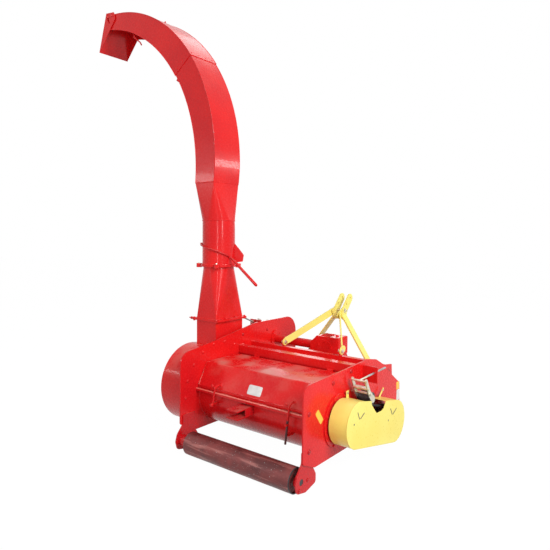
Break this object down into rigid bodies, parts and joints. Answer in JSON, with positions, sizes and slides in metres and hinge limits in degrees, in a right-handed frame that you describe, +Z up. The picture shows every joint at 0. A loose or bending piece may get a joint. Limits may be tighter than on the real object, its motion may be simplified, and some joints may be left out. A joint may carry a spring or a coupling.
{
  "type": "tractor-mounted flail forage harvester",
  "caption": "Three-point flail forage harvester: flail rotor, auger trough with lid, fan drum, tall turning spout with deflector, belt drives, mast and land roller.",
  "frame": {"origin": "on the ground, at the middle of the whole machine's box with its spout to the left", "axes": "+X to the machine's right, +Y forward to the tractor, +Z up"},
  "size_m": [2.808, 1.4794, 3.6068],
  "materials": {
    "red_paint": "semi-gloss bright red paint",
    "yellow_paint": "semi-gloss pale yellow paint",
    "rusty_steel": "worn steel with brown rust",
    "zinc_plate": "yellowish zinc plating",
    "bare_steel": "machined steel",
    "cast_iron": "dark casting",
    "belt_rubber": "matte black rubber",
    "black_plastic": "matte black"
  },
  "bodies": {
    "frame": {"left_side_plate": "red_paint", "right_side_plate": "red_paint", "roller_brackets": "red_paint", "auger_trough": "red_paint", "trough_apron": "red_paint", "lid_sill": "red_paint", "rotor_hood": "red_paint", "deck": "red_paint", "rear_beam": "red_paint", "front_beam": "red_paint", "hitch_beam": "red_paint", "drawbar_socket": "red_paint", "latch_catches": "red_paint", "lid_hinge_lugs": "red_paint", "frame_lugs": "red_paint", "pivot_pins": "zinc_plate", "fan_drum": "red_paint", "outlet_box": "red_paint", "spout_neck": "red_paint", "ring_clamps": "red_paint", "shaft_bearings": "cast_iron", "auger_bearing_plate": "red_paint", "drive_belts": "belt_rubber", "belt_idlers": "black_plastic", "tensioner_arms": "zinc_plate", "tensioner_rods": "zinc_plate", "right_belt_guard": "yellow_paint", "left_belt_guard": "yellow_paint", "guard_posts": "zinc_plate", "gearbox": "red_paint", "gearbox_cradle": "red_paint", "cross_tube": "red_paint", "mast_straps": "yellow_paint", "mast_braces": "yellow_paint", "mast_bolts": "zinc_plate", "hitch_brackets": "red_paint"},
    "spout": {"spout_tube": "red_paint", "turning_rod": "red_paint", "spout_transition": "red_paint", "lower_duct": "red_paint", "upper_duct": "red_paint", "flap_bolts": "zinc_plate"},
    "flap": {"deflector_flap": "red_paint"},
    "lid": {"hood_lid": "red_paint", "lid_hinge_leaves": "red_paint", "lid_latches": "red_paint"},
    "roller": {"land_roller": "rusty_steel"},
    "rotor": {"flail_rotor": "rusty_steel", "flails": "rusty_steel", "rotor_pulleys": "cast_iron"},
    "auger": {"auger_tube": "rusty_steel", "auger_flight": "rusty_steel", "fan_rotor": "rusty_steel", "auger_pulley": "cast_iron"},
    "cross_shaft": {"cross_shaft": "bare_steel", "cross_pulley": "cast_iron"},
    "input_shaft": {"input_shaft": "bare_steel"},
    "left_stand": {"left_stand": "red_paint"},
    "right_stand": {"right_stand": "red_paint"}
  },
  "joints": [
    {"name": "rotor_spin", "type": "hinge", "parent": "frame", "child": "rotor", "pos_m": [0.714, 0.28775, 0.226], "axis": [1, 0, 0], "continuous": true},
    {"name": "auger_spin", "type": "hinge", "parent": "frame", "child": "auger", "pos_m": [0.714, -0.26225, 0.35], "axis": [1, 0, 0], "continuous": true},
    {"name": "cross_shaft_spin", "type": "hinge", "parent": "frame", "child": "cross_shaft", "pos_m": [0.414, 0.43975, 0.651], "axis": [1, 0, 0], "continuous": true},
    {"name": "input_spin", "type": "hinge", "parent": "frame", "child": "input_shaft", "pos_m": [0.759, 0.53975, 0.651], "axis": [0, 1, 0], "continuous": true},
    {"name": "roller_spin", "type": "hinge", "parent": "frame", "child": "roller", "pos_m": [0.714, -0.66025, 0.0795], "axis": [1, 0, 0], "continuous": true},
    {"name": "spout_swivel", "type": "hinge", "parent": "frame", "child": "spout", "pos_m": [0.017, -0.11025, 1.31], "axis": [0, 0, 1], "range_deg": [-30, 210]},
    {"name": "flap_tilt", "type": "hinge", "parent": "spout", "child": "flap", "pos_m": [-1.199, -0.11025, 3.56483], "axis": [0, 1, 0], "range_deg": [-15, 50]},
    {"name": "lid_hinge", "type": "hinge", "parent": "frame", "child": "lid", "pos_m": [0.714, -0.06225, 0.61], "axis": [-1, 0, 0], "range_deg": [0, 85]},
    {"name": "left_stand_swing", "type": "hinge", "parent": "frame", "child": "left_stand", "pos_m": [0.208, 0.60975, 0.25], "axis": [1, 0, 0], "range_deg": [0, 90]},
    {"name": "right_stand_swing", "type": "hinge", "parent": "frame", "child": "right_stand", "pos_m": [1.22, 0.60975, 0.25], "axis": [1, 0, 0], "range_deg": [0, 90]}
  ],
  "couplings": [
    {"joint": "auger_spin", "follows": "rotor_spin", "ratio": 0.87273},
    {"joint": "cross_shaft_spin", "follows": "rotor_spin", "ratio": 0.88},
    {"joint": "input_spin", "follows": "rotor_spin", "ratio": 0.352}
  ]
}
